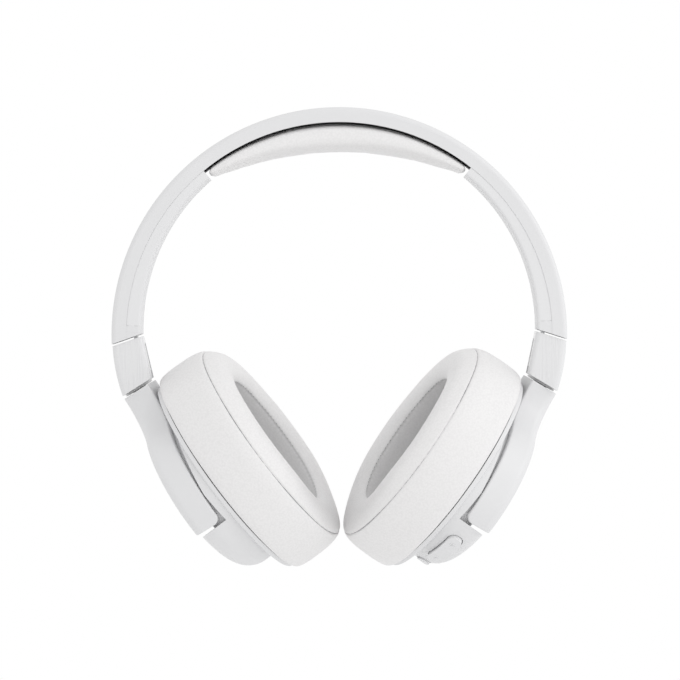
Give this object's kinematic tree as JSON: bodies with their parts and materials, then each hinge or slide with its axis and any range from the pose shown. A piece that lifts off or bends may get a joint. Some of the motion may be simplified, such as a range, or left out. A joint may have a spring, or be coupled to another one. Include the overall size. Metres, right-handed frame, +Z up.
{
  "type": "over ear headphones",
  "caption": "Folding over-ear headphones with padded band, sliding arms, swivelling and tilting oval cups, rim controls, charging port and audio socket.",
  "frame": {"origin": "centre of the headband's outer arc, on the middle plane: the middle of the wearer's head at ear level", "axes": "+X towards the wearer's right ear and the cup with the controls, +Y the wearer's forward direction, +Z up to the crown of the band"},
  "size_m": [0.186, 0.0806, 0.1872],
  "materials": {
    "shell_plastic": "satin moulded ABS, white",
    "trim_plastic": "satin moulded ABS, white",
    "block_plastic": "slightly glossier moulded plastic, white",
    "leatherette": "white fine-grained leatherette",
    "ring_plastic": "moulded plastic",
    "ear_cloth": "grey woven speaker cloth",
    "steel": "sprung and machined steel",
    "link_metal": "die-cast, painted white",
    "wire": "flat cable",
    "film": "speaker film",
    "board": "printed circuit board",
    "cell": "wrapped battery cell",
    "port_metal": "stamped steel",
    "jack_plastic": "black moulded plastic",
    "lens": "clear light pipe"
  },
  "bodies": {
    "headband": {"band_shell": "shell_plastic", "band_spring": "steel", "band_rivets": "steel", "band_cable": "wire", "band_screws": "steel", "crown_pad_base": "trim_plastic", "crown_pad": "leatherette", "left_band_trim": "trim_plastic", "left_slider_guide": "trim_plastic", "left_detent_spring": "steel", "right_band_trim": "trim_plastic", "right_slider_guide": "trim_plastic", "right_detent_spring": "steel"},
    "left_slider": {"left_slider_strip": "steel", "left_strip_screws": "steel", "left_hinge_block": "block_plastic", "left_hinge_pin": "steel"},
    "left_link": {"left_hinge_link": "link_metal", "left_swivel_screw": "steel"},
    "left_yoke": {"left_yoke": "shell_plastic", "left_tilt_pins": "steel"},
    "left_cup": {"left_cup_housing": "shell_plastic", "left_baffle": "shell_plastic", "left_cup_screws": "steel", "left_cushion_ring": "ring_plastic", "left_ear_cushion": "leatherette", "left_ear_mesh": "ear_cloth", "left_driver_basket": "ring_plastic", "left_driver_magnet": "steel", "left_driver_diaphragm": "film", "left_microphone": "board", "battery": "cell"},
    "right_slider": {"right_slider_strip": "steel", "right_strip_screws": "steel", "right_hinge_block": "block_plastic", "right_hinge_pin": "steel"},
    "right_link": {"right_hinge_link": "link_metal", "right_swivel_screw": "steel"},
    "right_yoke": {"right_yoke": "shell_plastic", "right_tilt_pins": "steel"},
    "right_cup": {"right_cup_housing": "shell_plastic", "right_baffle": "shell_plastic", "right_cup_screws": "steel", "right_cushion_ring": "ring_plastic", "right_ear_cushion": "leatherette", "right_ear_mesh": "ear_cloth", "right_driver_basket": "ring_plastic", "right_driver_magnet": "steel", "right_driver_diaphragm": "film", "right_microphone": "board", "usb_socket": "port_metal", "audio_jack": "jack_plastic", "status_light": "lens", "circuit_board": "board"},
    "volume_rocker": {"volume_rocker": "trim_plastic"},
    "play_button": {"play_button": "trim_plastic"},
    "power_switch": {"power_switch": "trim_plastic"}
  },
  "joints": [
    {"name": "left_slide", "type": "slide", "parent": "headband", "child": "left_slider", "axis": [0, 0, -1], "range_m": [0, 0.025]},
    {"name": "left_fold", "type": "hinge", "parent": "left_slider", "child": "left_link", "pos_m": [-0.08064, 0, -0.01479], "axis": [0, 1, 0], "range_deg": [-70, 0], "deforming": ["left_ear_cushion", "right_ear_cushion"]},
    {"name": "left_swivel", "type": "hinge", "parent": "left_link", "child": "left_yoke", "pos_m": [-0.0823, 0, -0.0205], "axis": [0.5225, 0, -0.8526], "range_deg": [-13.5, 79.5]},
    {"name": "left_tilt", "type": "hinge", "parent": "left_yoke", "child": "left_cup", "pos_m": [-0.05466, -0.00018, -0.06373], "axis": [0.1554, 0.9833, 0.0952], "range_deg": [-1, 7]},
    {"name": "right_slide", "type": "slide", "parent": "headband", "child": "right_slider", "axis": [0, 0, -1], "range_m": [0, 0.025]},
    {"name": "right_fold", "type": "hinge", "parent": "right_slider", "child": "right_link", "pos_m": [0.08064, 0, -0.01479], "axis": [0, 1, 0], "range_deg": [0, 70], "deforming": ["left_ear_cushion", "right_ear_cushion"]},
    {"name": "right_swivel", "type": "hinge", "parent": "right_link", "child": "right_yoke", "pos_m": [0.0823, 0, -0.0205], "axis": [-0.5225, 0, -0.8526], "range_deg": [-77.5, 15.5]},
    {"name": "right_tilt", "type": "hinge", "parent": "right_yoke", "child": "right_cup", "pos_m": [0.05466, -0.00022, -0.06373], "axis": [-0.1845, 0.9763, 0.1131], "range_deg": [-7, 1]},
    {"name": "volume_rock", "type": "hinge", "parent": "right_cup", "child": "volume_rocker", "pos_m": [0.04216, -0.02297, -0.08608], "axis": [0.7909, 0.2158, -0.5726], "range_deg": [-2, 2], "stiffness_Nm_per_rad": 0.25},
    {"name": "play_press", "type": "slide", "parent": "right_cup", "child": "play_button", "axis": [0.5474, 0.1688, 0.8197], "range_m": [0, 0.0006], "stiffness_N_per_m": 1200},
    {"name": "power_slide", "type": "slide", "parent": "right_cup", "child": "power_switch", "axis": [0.0166, -0.9429, -0.3325], "range_m": [0, 0.003]}
  ]
}
